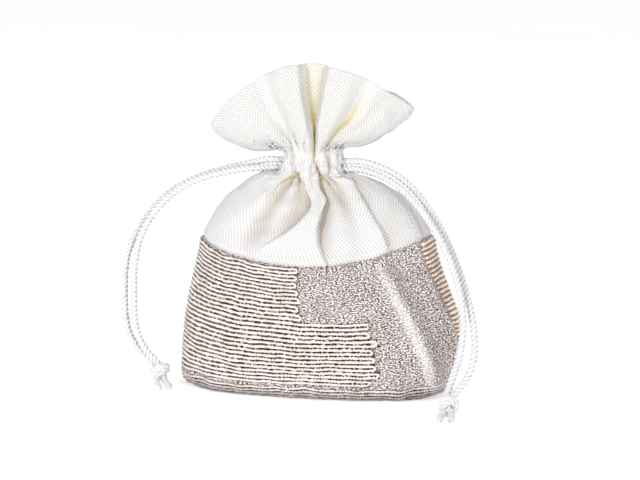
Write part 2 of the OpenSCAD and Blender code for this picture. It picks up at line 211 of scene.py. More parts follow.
def pleat_offset(row, turn):
    """The small gathers that the cords draw in: round ridges and sharp valleys, deepest at the casing."""
    t = row[0]
    depth = 1.05 * math.exp(-(((t - NECK_T) / 9.0) ** 2)) + 0.12 * smoothstep(100, 106, t)
    depth *= float(smoothstep(70, 86, t))
    phase = np.radians(turn)
    sway = 0.55 * math.sin(0.5 * t) + 0.4 * math.sin(0.83 * t + 1.0)
    big = np.abs(np.cos(8.5 * phase + 1.5 * np.sin(3 * phase + 0.4) + 0.5 * sway))
    small = np.abs(np.cos(16.5 * phase + 1.3 * np.sin(4 * phase + 0.09 * t) - 0.7 * sway))
    return depth * (1.7 * big + 0.7 * small - 1.5)


def sharp_creases(t, x):
    """How far the sharp creases of the front take the cloth in or out."""
    total = np.zeros_like(x)
    for ts, xs, drops, way, reach in CREASES:
        if not ts[0] < t < ts[-1]:
            continue
        at = float(spline(ts, xs, np.array([t]))[0])
        run = (float(spline(ts, xs, np.array([t + 0.5]))[0]) - at) / 0.5
        drop = float(np.interp(t, ts, drops))
        d = (x - at) / math.sqrt(1 + run * run)
        if way == 0:
            total -= drop * np.exp(-((np.abs(d) / reach) ** 1.3))
        else:
            d = d * way
            total -= drop * smoothstep(-0.1, 0.6, d) * np.exp(-((np.maximum(d, 0) / reach) ** 1.6))
            total += 0.4 * drop * (1 - smoothstep(-0.1, 0.6, d)) * np.exp(-((d / (0.45 * reach)) ** 2))
    return total


def crease_offset(t, x, side):
    """The lower cloth's soft creases and bulges."""
    if side == BACK:
        return 0.5 * waves(x, t, 5, 34) * smoothstep(20, 34, t) * (1 - smoothstep(58, 66, t))
    line = spline([18, 30, 44.5, 63], [37.5, 35.5, 30, 21.5], np.clip(t, 18, 63))
    ridge = 1.8 * np.exp(-(((x - line) / 2.7) ** 2)) - 1.1 * np.exp(-(((x - line - 5.0) / 2.8) ** 2))
    ridge -= 0.6 * np.exp(-(((x - line + 5.5) / 3.5) ** 2))
    ridge *= smoothstep(17, 24, t) * (1 - 0.7 * smoothstep(56, 66, t))
    soft = 0.45 * waves(x, t, 3, 40) * smoothstep(20, 32, t) * (1 - smoothstep(60, 70, t))
    hem = 0.55 * np.sin(x * 0.55 + 1.2 * np.sin(x * 0.21))
    hem *= smoothstep(15, 18, t) * (1 - smoothstep(20, 25, t))
    return ridge + soft + hem


def row_points(row, turn, side):
    """The points of one row of the skin at the given angles, in mm."""
    t, z, rise_l, rise_r, a_l, a_r, b, power, level = row
    # The right side seam is pulled round to the front, most of all at the yoke.
    pulled = 21 * smoothstep(17, 60, t) * (1 - smoothstep(64, 90, t))
    away = np.minimum(turn % 360, 360 - turn % 360)
    phase = np.radians(turn - pulled * np.exp(-((away / 52) ** 2)))
    c, s = np.cos(phase), np.sin(phase)
    a = np.where(c < 0, a_l, a_r)
    rise = np.where(c < 0, rise_l, rise_r)
    end = np.maximum(0, (np.abs(c) - level) / (1 - level))
    x = a * c
    y = b * np.sign(s) * np.abs(s) ** power
    height = z + rise * end**2
    if side == BACK:  # the back half of the frill hangs a little lower
        height = height - 3.2 * np.abs(s) * smoothstep(102, 126, t)
    across = np.hypot(c / np.maximum(a, 1), s / max(b, 6))
    nx, ny = c / np.maximum(a, 1) / across, s / max(b, 6) / across
    out = fold_offset(row, side, turn) + pleat_offset(row, turn) + crease_offset(t, x, side)
    if side == FRONT:
        out = out + sharp_creases(t, x)
        puff = np.exp(-(((turn - 208) / 13) ** 2)) * 2.6 + np.exp(-(((turn - 333) / 12) ** 2)) * 1.8
        out = out + puff * math.exp(-(((t - 91.5) / 4.5) ** 2))
    out = out + 0.25 * math.sin(math.pi * min(max((t - CASING_T[0]) / (CASING_T[1] - CASING_T[0]), 0), 1))
    edge = np.abs(np.sin(np.radians(turn)))
    out *= np.clip(edge * 6, 0.0, 1) ** 0.7 * (1 if b > 6 else b / 6)
    # Where the frill turns outwards it is calm beside the side seams.
    out *= 1 - math.exp(-(((t - 104.5) / 5.0) ** 2)) * (1 - smoothstep(0.3, 0.85, edge))
    step = np.gradient(out) / np.maximum(np.hypot(np.gradient(x), np.gradient(y)), 1e-3)
    shift = -np.clip(step, -1.6, 1.6) * np.interp(t, [63, 74, 96, 110, 128], [0.2, 0.35, 0.2, 0.5, 0.6])
    # The bag leans a little to the left of its base.
    lean = 3.0 * (1 - min(t, 96) / 96)
    return np.stack([x + out * nx - shift * ny + lean, y + out * ny + shift * nx, height, out], -1)


def panel_grid(side, ts, columns):
    """Points, flat coordinates and fold depth of a panel, with its columns evenly spaced along the cloth."""
    rows = spline(ROWS[:, 0], ROWS, ts)
    rows[:, 6] = np.maximum(rows[:, 6], 0.02)
    turn = np.linspace(180, 360 if side == FRONT else 0, FINE_ANGLES)
    points = np.empty((len(ts), columns, 4))
    share = np.linspace(0, 1, columns)
    for i, row in enumerate(rows):
        dense = row_points(row, turn, side)
        length = run_length(dense[:, :3])
        if row[0] < 24:  # the flat base would bunch the columns, so it shares the belly's spacing
            plain = np.concatenate([[0], np.cumsum(np.hypot(np.diff(dense[:, 0]), 0.35 * np.diff(turn)))])
            blend = float(smoothstep(14, 24, row[0]))
            length = length / length[-1] * blend + plain / plain[-1] * (1 - blend)
        at = share * length[-1]
        points[i] = np.stack([np.interp(at, length, dense[:, k]) for k in range(4)], -1)
    flat = np.zeros((len(ts), columns, 3))
    flat[..., 0] = (share * 2 - 1) * HALF_FLAT
    flat[..., 1] = np.asarray(ts)[:, None]
    return points[..., :3], flat, points[..., 3]


def normals(points, outward):
    """Unit normals of a grid of points, on the side that `outward` says."""
    up = np.gradient(points, axis=0)
    across = np.gradient(points, axis=1)
    n = np.cross(across, up)
    n /= np.maximum(np.linalg.norm(n, axis=-1, keepdims=True), 1e-9)
    return n * outward


def grid_object(name, points, flat, marks, close=False):
    """A mesh over a grid of points in mm, with its flat coordinates and any other marks."""
    rows, columns = points.shape[:2]
    index = np.arange(rows * columns).reshape(rows, columns)
    if close:
        index = np.concatenate([index, index[:, :1]], axis=1)
    quads = np.stack([index[:-1, :-1], index[:-1, 1:], index[1:, 1:], index[1:, :-1]], -1).reshape(-1, 4)
    mesh = bpy.data.meshes.new(name)
    mesh.vertices.add(rows * columns)
    mesh.vertices.foreach_set("co", (points * MM).reshape(-1).astype(np.float32))
    mesh.loops.add(quads.size)
    mesh.loops.foreach_set("vertex_index", quads.reshape(-1).astype(np.int32))
    mesh.polygons.add(len(quads))
    mesh.polygons.foreach_set("loop_start", (np.arange(len(quads)) * 4).astype(np.int32))
    mesh.polygons.foreach_set("use_smooth", np.ones(len(quads), bool))
    mesh.update(calc_edges=True)
    for label, values in {"flat": flat, **marks}.items():
        kind, slot = ("FLOAT_VECTOR", "vector") if values.ndim == 3 else ("FLOAT", "value")
        layer = mesh.attributes.new(label, kind, "POINT")
        layer.data.foreach_set(slot, values.reshape(-1).astype(np.float32))
    piece = bpy.data.objects.new(name, mesh)
    bpy.context.scene.collection.objects.link(piece)
    return piece


# ---------------------------------------------------------------- materials

def material(name, rough, sheen=0.0):
    """A new material, with a small helper that makes and links nodes."""
    made = bpy.data.materials.new(name)
    made.use_nodes = True
    tree = made.node_tree
    shader = tree.nodes["Principled BSDF"]
    shader.inputs["Roughness"].default_value = rough
    shader.inputs["Specular IOR Level"].default_value = 0.25
    shader.inputs["Sheen Weight"].default_value = sheen
    shader.inputs["Sheen Roughness"].default_value = 0.4

    def node(kind, links=None, **values):
        n = tree.nodes.new(kind)
        for key, value in values.items():
            setattr(n, key, value)
        for key, value in (links or {}).items():
            if isinstance(value, bpy.types.NodeSocket):
                tree.links.new(value, n.inputs[key])
            else:
                n.inputs[key].default_value = value
        return n

    return made, tree, shader, node


def maths(node, operation, a, b=0.0):
    return node("ShaderNodeMath", {0: a, 1: b}, operation=operation).outputs[0]


def times(node, a, b):
    return maths(node, "MULTIPLY", a, b)


def ramp(node, value, stops):
    n = node("ShaderNodeValToRGB", {0: value})
    n.color_ramp.elements[0].position, n.color_ramp.elements[0].color = stops[0][0], (*stops[0][1], 1)
    n.color_ramp.elements[1].position, n.color_ramp.elements[1].color = stops[-1][0], (*stops[-1][1], 1)
    for place, colour in stops[1:-1]:
        n.color_ramp.elements.new(place).color = (*colour, 1)
    return n.outputs[0]


def mixed(node, share, a, b, blend="MIX"):
    n = node("ShaderNodeMix", {0: share, 6: a, 7: b}, data_type="RGBA", blend_type=blend)
    return n.outputs[2]


def attribute(node, name, vector=False):
    n = node("ShaderNodeAttribute", attribute_name=name)
    return n.outputs["Vector"] if vector else n.outputs["Fac"]


def weave(node, flat, pitch_s, pitch_t, wander):
    """The height of a plain weave, from 0 in its holes to 1 on its yarns."""
    noise = node("ShaderNodeTexNoise", {"Vector": flat, "Scale": 0.35, "Detail": 2.0})
    moved = node("ShaderNodeMixRGB", {0: wander, 1: flat, 2: noise.outputs["Color"]}, blend_type="ADD")
    parts = node("ShaderNodeSeparateXYZ", {0: moved.outputs[0]}).outputs
    warp, weft = (maths(node, "ABSOLUTE", maths(node, "SINE", times(node, part, math.pi / pitch)))
                  for part, pitch in ((parts[0], pitch_s), (parts[1], pitch_t)))
    return maths(node, "MAXIMUM", warp, weft)


def sheer_material():
    """Ivory open weave: light comes through it, and painted cream shade tints it where layers of it face each
    other in the folds.
    """
    made, tree, shader, node = material("ivory_sheer_weave", 0.85, 0.15)
    flat = attribute(node, "flat", True)
    noise = node("ShaderNodeTexNoise", {"Vector": flat, "Scale": 0.35, "Detail": 2.0})
    moved = node("ShaderNodeMixRGB", {0: 0.12, 1: flat, 2: noise.outputs["Color"]}, blend_type="ADD")
    yarns = node("ShaderNodeSeparateXYZ", {0: moved.outputs[0]}).outputs
    warp = maths(node, "SINE", times(node, yarns[0], 2 * math.pi / WEAVE_PITCH))
    weft = maths(node, "SINE", times(node, yarns[1], 2 * math.pi / WEAVE_PITCH))
    cross = maths(node, "ADD", times(node, times(node, warp, weft), 0.5), 0.5)
    slub = node("ShaderNodeTexNoise", {"Vector": flat, "Scale": 1.3, "Detail": 3.0})
    yarn = ramp(node, cross, [(0.5, (0.98, 0.977, 0.975)), (0.85, (0.68, 0.66, 0.65))])
    # Painted shade: cream inside the folds, and tan beside the creases.
    cream = ramp(node, attribute(node, "painted_fold_shade"), [
        (0.0, (1, 1, 1)), (0.4, (1.0, 0.98, 0.885)), (0.8, (1.0, 0.94, 0.68)), (1.0, (1.0, 0.84, 0.36)),
    ])
    dim = ramp(node, attribute(node, "shade"), [(0.0, (1, 1, 1)), (1.0, (0.84, 0.785, 0.75))])
    colour = mixed(node, 1.0, mixed(node, 1.0, yarn, cream, "MULTIPLY"), dim, "MULTIPLY")
    uneven = ramp(node, slub.outputs[0], [(0.3, (0.93, 0.93, 0.93)), (0.7, (1, 1, 1))])
    colour = mixed(node, 1.0, colour, uneven, "MULTIPLY")
    # Two layers lie together above the casing, and less light comes through them: painted shade darkens them
    # there, outside the folds.
    dense = ramp(node, attribute(node, "frill_painted_shade"), [(0.0, (1, 1, 1)), (1.0, (0.875, 0.87, 0.862))])
    colour = mixed(node, 1.0, colour, dense, "MULTIPLY")
    tree.links.new(colour, shader.inputs["Base Color"])
    bump = node("ShaderNodeBump", {"Strength": 0.5, "Distance": 0.00012, "Height": cross})
    tree.links.new(bump.outputs[0], shader.inputs["Normal"])
    through = node("ShaderNodeBsdfTranslucent", {"Color": colour, "Normal": bump.outputs[0]})
    both = node("ShaderNodeMixShader", {0: 0.32, 1: shader.outputs[0], 2: through.outputs[0]})
    tree.links.new(both.outputs[0], tree.nodes["Material Output"].inputs["Surface"])
    return made


def jacquard_material():
    """Oatmeal jacquard: white ribs on a brown ground, and a slubby plain weave beside them."""
    made, tree, shader, node = material("oatmeal_jacquard", 0.9, 0.25)
    flat = attribute(node, "flat", True)
    rib = attribute(node, "rib")
    patch = attribute(node, "patch")
    height = weave(node, flat, 0.5, 0.55, 0.3)

    def mottle(vector, scale, detail, rough=0.5):
        noise = {"Vector": vector, "Scale": scale, "Detail": detail, "Roughness": rough}
        return node("ShaderNodeTexNoise", noise).outputs[0]

    def stretched(by):
        return node("ShaderNodeVectorMath", {0: flat, 1: by}, operation="MULTIPLY").outputs[0]

    fine = mottle(flat, 2.2, 3.0, 0.7)
    slubs = mottle(stretched((0.8, 1.7, 1.0)), 1.85, 2.0, 0.6)
    cloud = ramp(node, mottle(flat, 0.16, 2.0), [(0.3, (0.84, 0.8, 0.78)), (0.65, (1.0, 1.0, 1.0))])
    # The ribs: white yarn with a twist in it, on a brown ground with flecks.
    ground = ramp(node, mottle(stretched((1.0, 0.55, 1.0)), 1.5, 1.5), [
        (0.44, (0.02, 0.012, 0.008)), (0.52, (0.09, 0.05, 0.03)), (0.58, (0.34, 0.22, 0.15)),
        (0.66, (0.78, 0.66, 0.58)),
    ])
    ground = mixed(node, attribute(node, "tan"), ground, (0.5, 0.26, 0.11, 1))
    place = node("ShaderNodeSeparateXYZ", {0: flat}).outputs
    twist = maths(node, "ADD", times(node, place[0], BEADS_S), times(node, place[1], BEADS_T))
    # Painted shade: the white yarn is darker in the low part of each twist, where the ribs are lower.
    beads = ramp(node, maths(node, "SINE", twist), [(0.0, (0.78, 0.73, 0.71)), (0.4, (1.0, 0.985, 0.98))])
    hollows = ramp(node, fine, [(0.36, (0.55, 0.47, 0.43)), (0.48, (1, 1, 1))])
    white = mixed(node, 0.6, beads, hollows, "MULTIPLY")
    frayed = maths(node, "ADD", rib, times(node, maths(node, "SUBTRACT", fine, 0.5), 1.5))
    share = ramp(node, frayed, [(0.2, (0, 0, 0)), (0.5, (1, 1, 1))])
    ribbed = mixed(node, share, ground, white)
    # The plain weave: dark and light slubs, and a painted highlight along the soft crease's ridge.
    speckle = maths(node, "ADD", times(node, slubs, 0.75), times(node, fine, 0.25))
    plain = ramp(node, speckle, [
        (0.44, (0.04, 0.025, 0.02)), (0.485, (0.26, 0.2, 0.18)), (0.525, (0.6, 0.54, 0.52)),
        (0.57, (1.0, 0.985, 0.975)),
    ])
    plain = mixed(node, times(node, attribute(node, "crest"), 0.42), plain, (0.95, 0.93, 0.92, 1))
    colour = mixed(node, patch, plain, ribbed)
    colour = mixed(node, 1.0, colour, cloud, "MULTIPLY")
    # The hem round the base is darker: partly wear, partly painted shade near the floor.
    hem_wear_and_shade = ramp(node, times(node, place[1], 0.01), [
        (0.09, (0.8, 0.79, 0.79)), (0.14, (0.4, 0.38, 0.38)), (0.17, (0.36, 0.34, 0.34)), (0.21, (1, 1, 1)),
    ])
    colour = mixed(node, 1.0, colour, hem_wear_and_shade, "MULTIPLY")
    tree.links.new(colour, shader.inputs["Base Color"])
    rough = maths(node, "ADD", times(node, height, 0.6), fine)
    bump = node("ShaderNodeBump", {"Strength": 0.8, "Distance": 0.0002, "Height": rough})
    tree.links.new(bump.outputs[0], shader.inputs["Normal"])
    return made


def cord_material():
    """White satin yarn: fine strands along each ply."""
    made, tree, shader, node = material("white_satin_cord", 0.38, 0.3)
    shader.inputs["Specular IOR Level"].default_value = 0.5
    along = attribute(node, "flat", True)
    strands = node("ShaderNodeTexNoise", {"Vector": along, "Scale": 5.0, "Detail": 3.0, "Distortion": 0.3})
    colour = ramp(node, strands.outputs[0], [(0.3, (0.53, 0.53, 0.56)), (0.6, (0.8, 0.8, 0.815))])
    # Painted shade: the cord is darker in the grooves between its plies.
    groove_and_painted_shade = ramp(node, attribute(node, "groove_and_painted_shade"), [
        (0.0, (1, 1, 1)), (0.4, (0.94, 0.94, 0.95)), (1.0, (0.68, 0.67, 0.7)),
    ])
    tip = ramp(node, attribute(node, "tip"), [(0.0, (1, 1, 1)), (1.0, (0.93, 0.87, 0.78))])
    colour = mixed(node, 1.0, mixed(node, 1.0, colour, groove_and_painted_shade, "MULTIPLY"), tip, "MULTIPLY")
    tree.links.new(colour, shader.inputs["Base Color"])
    bump = node("ShaderNodeBump", {"Strength": 0.5, "Distance": 0.0001, "Height": strands.outputs[0]})
    tree.links.new(bump.outputs[0], shader.inputs["Normal"])
    return made


def thread_material():
    """Ivory sewing thread, with the sheen of polyester."""
    made, tree, shader, node = material("ivory_thread", 0.5, 0.2)
    place = node("ShaderNodeTexCoord").outputs["Object"]
    fibres = node("ShaderNodeTexNoise", {"Vector": place, "Scale": 2500.0, "Detail": 2.0})
    colour = ramp(node, fibres.outputs[0], [(0.35, (0.8, 0.77, 0.7)), (0.65, (0.95, 0.93, 0.88))])
    tree.links.new(colour, shader.inputs["Base Color"])
    bump = node("ShaderNodeBump", {"Strength": 0.4, "Distance": 0.00005, "Height": fibres.outputs[0]})
    tree.links.new(bump.outputs[0], shader.inputs["Normal"])
    return made


def floor_material():
    made, tree, shader, node = material("pale_floor", 0.75)
    place = node("ShaderNodeTexCoord").outputs["Object"]
    soft = node("ShaderNodeTexNoise", {"Vector": place, "Scale": 3.0})
    pale = ramp(node, soft.outputs[0], [(0.3, (0.93, 0.93, 0.94)), (0.7, (0.95, 0.95, 0.96))])
    tree.links.new(pale, shader.inputs["Base Color"])
    tree.links.new(pale, shader.inputs["Emission Color"])
    shader.inputs["Emission Strength"].default_value = 0.47
    return made


SHEER = sheer_material()
JACQUARD = jacquard_material()
SATIN = cord_material()
THREAD = thread_material()


def finish_piece(piece, made, body=None, replaces=()):
    """Gives a piece its material and its body, and hides the CAD nodes that it stands for."""
    piece.data.materials.append(made)
    if body:
        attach(piece, body)
    if replaces:
        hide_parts(*replaces)
    return piece


# ---------------------------------------------------------------- the cloths

# Bands of ribs on the lower cloth: bottom and top t, left and right end, how far the right end moves
# on towards the top, how ragged the ends are, the rib pitch, and how much the ribs sway.
FRONT_RIBS = [
    (16.2, 20.9, -70, 70, 0, 0.5, 1.2, 0.5), (21.8, 44.0, -45.5, 18.4, 2.2, 1.1, 1.46, 0.3),
    (44.0, 62.4, -70, 1.0, 1.2, 0.8, 1.3, 0.3),
]
BACK_RIBS = [(15.2, 62.4, -70, 70, 0, 0.5, 1.3, 0.2)]


def ribs(side, s, t):
    """How high the white cords stand, and where the ribbed cloth lies, both from 0 to 1."""
    height, patch = np.zeros(s.shape), np.zeros(s.shape)
    rng = np.random.default_rng(21 + side)
    for low, high, left, right, drift, ragged, pitch, sway in FRONT_RIBS if side == FRONT else BACK_RIBS:
        pairs = max(1, round((high - low) / (2 * pitch)))
        step = (high - low) / pairs
        moved = t + sway * (0.6 * waves(s, t, 9, 26) + 0.35 * waves(s, t, 10, 7))
        for k in range(pairs):
            middle = low + (k + 0.5) * step
            end = right + drift * (middle - low) / (high - low) * 1.5
            ends = left + rng.uniform(-ragged, ragged), end + rng.uniform(-ragged, ragged)
            inside = np.abs(moved - middle) < step * 0.5
            past = np.maximum(0, np.maximum(s - ends[1], ends[0] - s))
            off = np.abs(np.hypot(past, moved - middle) - step / 4)
            thick = (0.27 + 0.05 * waves(s, t, 60 + k, 3)) * step / 2
            bump = np.sqrt(np.clip(1 - (off / thick) ** 2, 0, 1))
            height = np.where(inside, np.maximum(height, bump), height)
            reach = 1 - smoothstep(step * 0.3, step * 0.7, past + 0.3 * waves(s, t, 90 + k, 2.2))
            patch = np.where(inside, np.maximum(patch, reach), patch)
    beads = 1 + 0.22 * np.sin(s * BEADS_S + t * BEADS_T)
    return height * beads * smoothstep(0.2, 0.9, patch), patch


def lower_panel(side):
    """One ribbed lower cloth, from the bottom seam to the yoke seam."""
    front = side == FRONT
    ts = np.concatenate([np.linspace(0, 13.5, 12), np.arange(14.3, YOKE_T + 0.01, 0.22)])
    ts[-1] = YOKE_T
    points, flat, _ = panel_grid(side, ts, FRONT_LOWER_COLUMNS if front else BACK_LOWER_COLUMNS)
    n = normals(points, 1 if front else -1)
    s, t = flat[..., 0], flat[..., 1]
    height, patch = ribs(side, s, t)
    slubs = 0.1 * waves(s * 0.8, t * 1.7, 31, 1.6) + 0.06 * waves(s, t, 32, 0.9)
    seam = -0.8 * np.exp(-(((t - YOKE_T) / 0.55) ** 2)) + 0.25 * np.exp(-(((t - YOKE_T + 1.6) / 0.9) ** 2))
    edge = -0.6 * np.exp(-(((50 - np.abs(s)) / 0.6) ** 2)) + 0.3 * np.exp(-(((48.4 - np.abs(s)) / 0.8) ** 2))
    lift = 0.46 * height + (1 - patch) * (0.16 + slubs) + seam + edge * smoothstep(12, 20, t)
    points = points + n * (lift * smoothstep(12, 15, t))[..., None]
    points[..., 2] = np.maximum(points[..., 2], 0.02)
    name = "front" if front else "back"
    marks = {"rib": height, "patch": patch}
    if front:
        # A painted highlight along the ridge of the soft crease.
        ridge = crease_offset(t[:, :1], points[..., 0] - 3 * (1 - t / 96), side)
        marks.update(crest=np.clip(ridge - 0.55, 0, 1), tan=0 * t)
    else:
        marks.update(crest=0 * t, tan=0 * t + 0.7)
        points, flat, marks = points[:, ::-1], flat[:, ::-1], {k: v[:, ::-1] for k, v in marks.items()}
    piece = grid_object(f"{name}_lower_cloth", points, flat, marks)
    finish_piece(piece, JACQUARD, "pouch", [f"lower_{name}_panel"])


def upper_panel(side):
    """One sheer cloth, from the yoke seam through the casing to the frill's edge, and down inside again."""
    front = side == FRONT
    ts = np.concatenate([
        np.linspace(YOKE_T, 65, 9)[:-1], np.arange(65, 92, 0.6), np.arange(92, 101, 0.36),
        np.arange(101, TOP_T, 0.6), [TOP_T],
    ])
    points, flat, out = panel_grid(side, ts, UPPER_COLUMNS)
    n = normals(points, 1 if front else -1)
    s, t = flat[..., 0], flat[..., 1]
    seam = -0.7 * np.exp(-(((t - YOKE_T) / 0.6) ** 2)) + 0.2 * np.exp(-(((t - YOKE_T - 1.5) / 0.8) ** 2))
    tack = -0.14 * (np.exp(-(((t - CASING_T[0]) / 0.35) ** 2)) + np.exp(-(((t - CASING_T[1]) / 0.35) ** 2)))
    cord = 0.2 * np.exp(-(((t - 94.8) / 1.2) ** 2)) + 0.2 * np.exp(-(((t - 97.6) / 1.2) ** 2))
    fine = 0.10 * waves(s, t, 41 + side, 7) * smoothstep(66, 72, t) + 0.16 * waves(s, t * 0.5, 51 + side, 16)
    points = points + n * (seam + tack + cord + fine * smoothstep(64, 68, t))[..., None]
    gap = np.clip(-out, 0, None)
    painted_fold_shade = smoothstep(0.6, 2.8, gap) * smoothstep(98, 105, t) * (1 - 0.65 * smoothstep(106, 124, t))
    painted_fold_shade += 1.4 * smoothstep(0.5, 1.7, gap) * np.exp(-(((t - 97) / 7) ** 2))
    painted_fold_shade += 0.3 * smoothstep(0.6, 2.2, gap) * np.exp(-(((t - 82) / 9) ** 2))
    # Marks for the colour, all painted shade: cream inside the folds, tan beside the creases, darker where
    # two layers lie above the casing.
    painted_fold_shade = np.clip(painted_fold_shade, 0, 1)
    shade = smoothstep(0.3, 2.2, gap) * (1 - 0.85 * smoothstep(92, 102, t))
    frill_painted_shade = smoothstep(99, 106, t) * (1 - smoothstep(0.2, 1.4, gap))
    # The edge rolls over, and the facing goes back down inside.
    up = points[-1] - points[-2]
    up /= np.linalg.norm(up, axis=-1, keepdims=True)
    roll = [points[-1] + 0.4 * math.sin(a) * up - 0.4 * (1 - math.cos(a)) * n[-1] for a in (0.8, 1.57, 2.35)]
    down = [i for i in range(len(ts) - 1, 0, -1) if ts[i] > 101.5][::2]
    inner = [points[i] - (0.8 + 0.12 * math.sin(i)) * n[i] for i in down]
    close = smoothstep(41, 50, np.abs(s[0]))  # beside the side seams the facing lies well inside the fold
    inwards = np.stack([1 - 0.05 * close, 1 - 0.35 * close, 1 + 0 * close], -1)
    inner = [row * inwards + [0, 0, 1] * close[:, None] for row in inner]
    points = np.concatenate([points, np.array(roll), np.array(inner)])
    rolled = [flat[-1:] + [0, k * 0.4, 0] for k in (1, 2, 3)]
    flat = np.concatenate([flat, *rolled, flat[down] * [1, -1, 1] + [0, 258, 0]])
    # The facing, inside the fold, gets a little more painted cream shade.
    painted_fold_shade = np.concatenate([painted_fold_shade, *[painted_fold_shade[-1:]] * 3, np.clip(painted_fold_shade[down] + 0.12, 0, 1)])
    shade, frill_painted_shade = (np.concatenate([mark, *[mark[-1:]] * 3, mark[down]]) for mark in (shade, frill_painted_shade))
    name = "front" if front else "back"
    if not front:
        points, flat, painted_fold_shade, shade, frill_painted_shade = (grid[:, ::-1] for grid in (points, flat, painted_fold_shade, shade, frill_painted_shade))
    marks = {"painted_fold_shade": painted_fold_shade, "shade": shade, "frill_painted_shade": frill_painted_shade}
    piece = grid_object(f"{name}_upper_cloth", points, flat, marks)
    piece.data.materials.append(SHEER)
    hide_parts(f"{name}_shoulder", f"{name}_frill", f"{name}_facing")
    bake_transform(piece)


def side_tuck(side):
    """The side seam's allowance inside the frill, which the two halves of the mouth lie over."""
    ts = np.arange(101.5, 127.4, 0.8)
    rows = spline(ROWS[:, 0], ROWS, ts)
    reach = 26  # degrees that it goes in front of the seam, and behind it
    swing = np.linspace(0, reach, 30)
    front = (360 - swing if side == RIGHT else 180 + swing)[::-1]
    back = (swing if side == RIGHT else 180 - swing)[1:]
    points = np.empty((len(ts), 59, 3))
    for i, row in enumerate(rows):
        points[i] = np.concatenate([row_points(row, front, FRONT), row_points(row, back, BACK)])[:, :3]
    turn = np.linspace(-reach, reach, 59)
    points = points * [0.93, 0.5, 1.0] + [0, 0, 1.3]
    if side == LEFT:
        points, turn = points[:, ::-1], turn[::-1]
    grid = points.shape[:2]
    across, up = np.broadcast_to(turn * 0.4, grid), np.broadcast_to(ts[:, None], grid)
    flat = np.stack([across, up, np.zeros(grid)], -1)
    name = "left" if side == LEFT else "right"
    # Painted shade: the allowance inside the frill is tinted a little cream all over.
    piece = grid_object(f"{name}_side_tuck", points, flat, {"painted_fold_shade": np.full(grid, 0.3)})
    finish_piece(piece, SHEER, "pouch", [f"{name}_side_fold"])


# ---------------------------------------------------------------- cords, knots and threads

LEFT_UPPER = [
    (-5, 0, 71.2), (-8, 0, 71.2), (-10.8, 0, 71.2), (-14.3, -0.4, 71.2), (-21, -1.6, 69.8),
    (-27.4, -2.6, 68.3), (-33.2, -3.6, 66.6), (-38.7, -4.6, 64.4), (-43.7, -5.4, 61.4), (-48.2, -6.2, 57.4),
    (-52, -7, 52.6), (-55, -7.8, 47.4), (-57, -8.6, 42.4), (-57.9, -9.2, 37.4), (-58.1, -9.6, 32.2),
    (-58.1, -9.8, 27), (-57.8, -10, 21.8), (-56.6, -10.2, 16.8), (-54.1, -10.2, 12.4), (-51.3, -10, 9.4),
    (-49.2, -9.8, 7.8), (-47.6, -10.1, 7),
]
LEFT_LOWER = [
    (-5, 0, 68.8), (-8, 0, 68.8), (-10.8, 0, 68.8), (-14.3, -1, 68.7), (-20.3, -3.8, 68.6),
    (-26.6, -5.4, 67.6), (-32.2, -6.5, 66.2), (-37.4, -7.5, 64.1), (-42.2, -8.4, 61.1), (-46.5, -9.2, 57.1),
    (-50, -10, 52.3), (-52.4, -10.6, 47.4), (-53.6, -11.2, 42.6), (-54.2, -11.8, 37.7), (-54.3, -12.2, 32.8),
    (-54.3, -12.5, 27.8), (-54.2, -12.6, 22.8), (-53.4, -12.6, 18), (-51.7, -12.2, 13.8),
    (-49.6, -11.6, 10.5), (-48, -11, 8.7), (-46.9, -10.8, 7.2),
]
RIGHT_UPPER = [
    (5, 0, 71.2), (8, 0, 71.2), (10.8, 0, 71.2), (14.3, -0.4, 71.3), (20.5, -0.8, 69.9), (25.9, -1.4, 67.6),
    (30.5, -2.4, 64.4), (34.6, -3.8, 60.4), (38.2, -5.8, 55.9), (41.6, -8, 51.1), (44.6, -10.4, 46),
    (47.3, -13, 40.6), (49.6, -15.4, 35.1), (51.5, -17.8, 29.6), (52.8, -20, 24), (53.4, -22.2, 18.6),
    (52.7, -24.2, 13.6), (50.8, -26.2, 9.5), (48.8, -28, 6.8), (47.6, -29, 5),
]
RIGHT_LOWER = [
    (5, 0, 68.8), (8, 0, 68.8), (10.8, 0, 68.8), (14.3, -0.2, 68.8), (20.6, -1.4, 67.3), (25.8, -3.4, 65.1),
    (30.6, -6, 61.9), (35, -8.8, 57.9), (38.9, -11.2, 53.2), (42.2, -13.4, 48.4), (44.9, -15.4, 43.5),
    (47.1, -17.4, 38.4), (48.7, -19.2, 33.1), (49.6, -20.8, 27.7), (49.7, -22.2, 22.3), (49.1, -23.4, 17.2),
    (48, -24.7, 12.8), (46.9, -26.2, 9.2), (46.2, -27.6, 6.6), (46.4, -28.8, 4.8),
]
LEFT_TAILS = [
    [(-46.2, -11, 4.6), (-45.2, -11.6, 3.2), (-44.3, -12.4, 2.2), (-43.3, -13.6, 1.6), (-42, -15.2, 1.2)],
    [(-46.7, -11.4, 4.4), (-47.1, -12.8, 3.2), (-46.7, -14.2, 2.2), (-45.7, -15.8, 1.6), (-44.6, -17.2, 1.2)],
]
RIGHT_TAILS = [
    [(46.5, -32, 3.1), (45.8, -34, 2), (45.5, -36.2, 1.5), (45.6, -38.4, 1.2), (46.1, -40.2, 1.2)],
    [(47.3, -32, 3.1), (48.2, -33.8, 2), (48.8, -36, 1.5), (48.9, -38, 1.2), (48.6, -39.8, 1.2)],
]
CORD_D = 2.3
UPPER_Z, LOWER_Z = 71.2, 68.8  # the two levels at which the cords run through the casing
ROPE_SIDES, TURNS_PER_MM = 24, 0.23
STITCH_D, FRAYED_D = 0.26, 0.2


